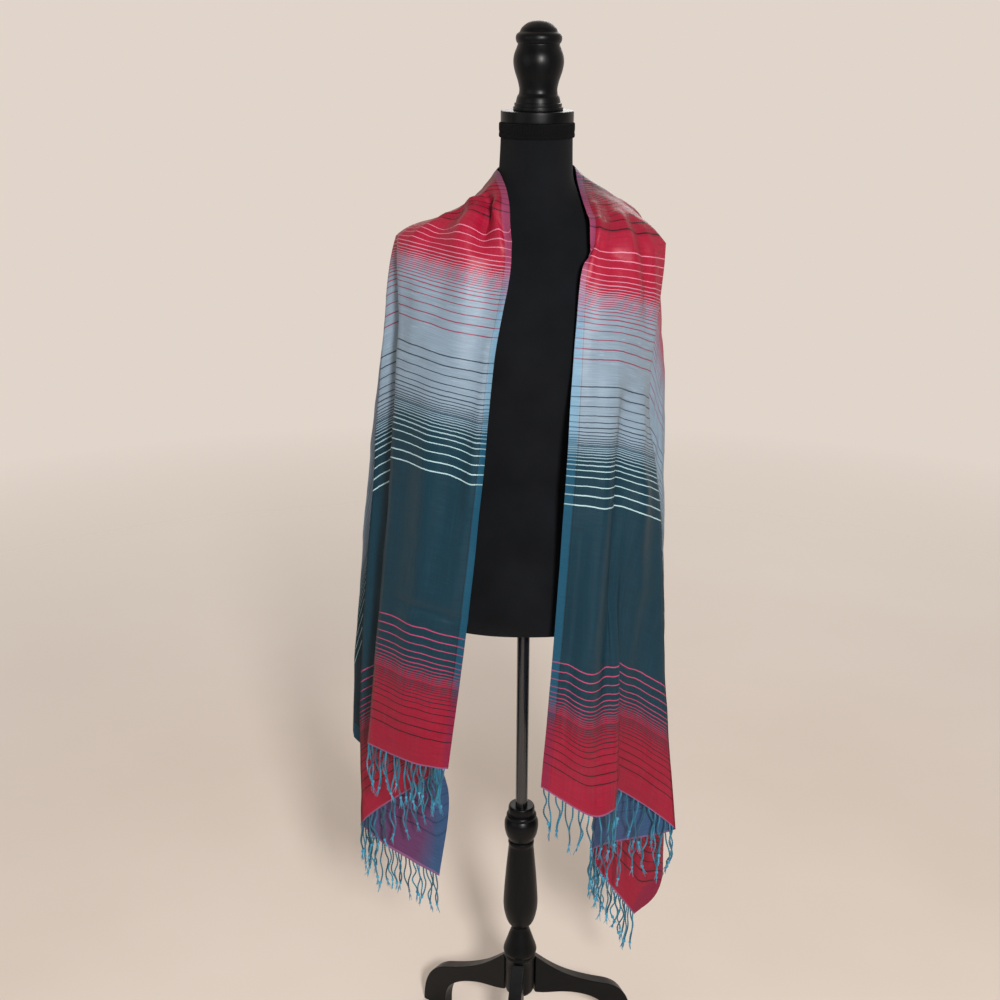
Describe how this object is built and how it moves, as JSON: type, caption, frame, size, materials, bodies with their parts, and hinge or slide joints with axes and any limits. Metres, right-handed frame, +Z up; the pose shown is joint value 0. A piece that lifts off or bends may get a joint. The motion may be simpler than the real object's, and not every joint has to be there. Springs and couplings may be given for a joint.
{
  "type": "shawl on a dress form",
  "caption": "Long fringed shawl with graded cross stripes, laid round the neck of a limbless dress form on a turned three-legged stand.",
  "frame": {"origin": "bottom centre of the whole object's box, at the floor", "axes": "+Z up; the form faces -Y, towards the viewer of its front; +X to that viewer's right"},
  "size_m": [0.508, 0.3468, 1.646],
  "materials": {
    "shawl": "silky woven cloth in graded bands of red, blue-grey and dark teal",
    "fringe": "twisted turquoise strands",
    "jersey": "matte black knitted cover",
    "trim": "black woven braid",
    "wood": "satin black lacquer",
    "steel": "satin black tube"
  },
  "bodies": {
    "root": {"shawl_front_left": "shawl", "shawl_side_left": "shawl", "shawl_tail_left": "shawl", "shawl_back": "shawl", "shawl_tail_right": "shawl", "shawl_side_right": "shawl", "shawl_front_right": "shawl", "fringe_front_left": "fringe", "fringe_side_left": "fringe", "fringe_side_right": "fringe", "fringe_front_right": "fringe", "form_torso": "jersey", "neck_trim": "trim", "neck_plate": "wood", "finial": "wood", "pole": "steel", "collar": "wood", "column": "wood", "hub": "wood", "leg_front": "wood", "leg_right": "wood", "leg_left": "wood"}
  },
  "joints": []
}
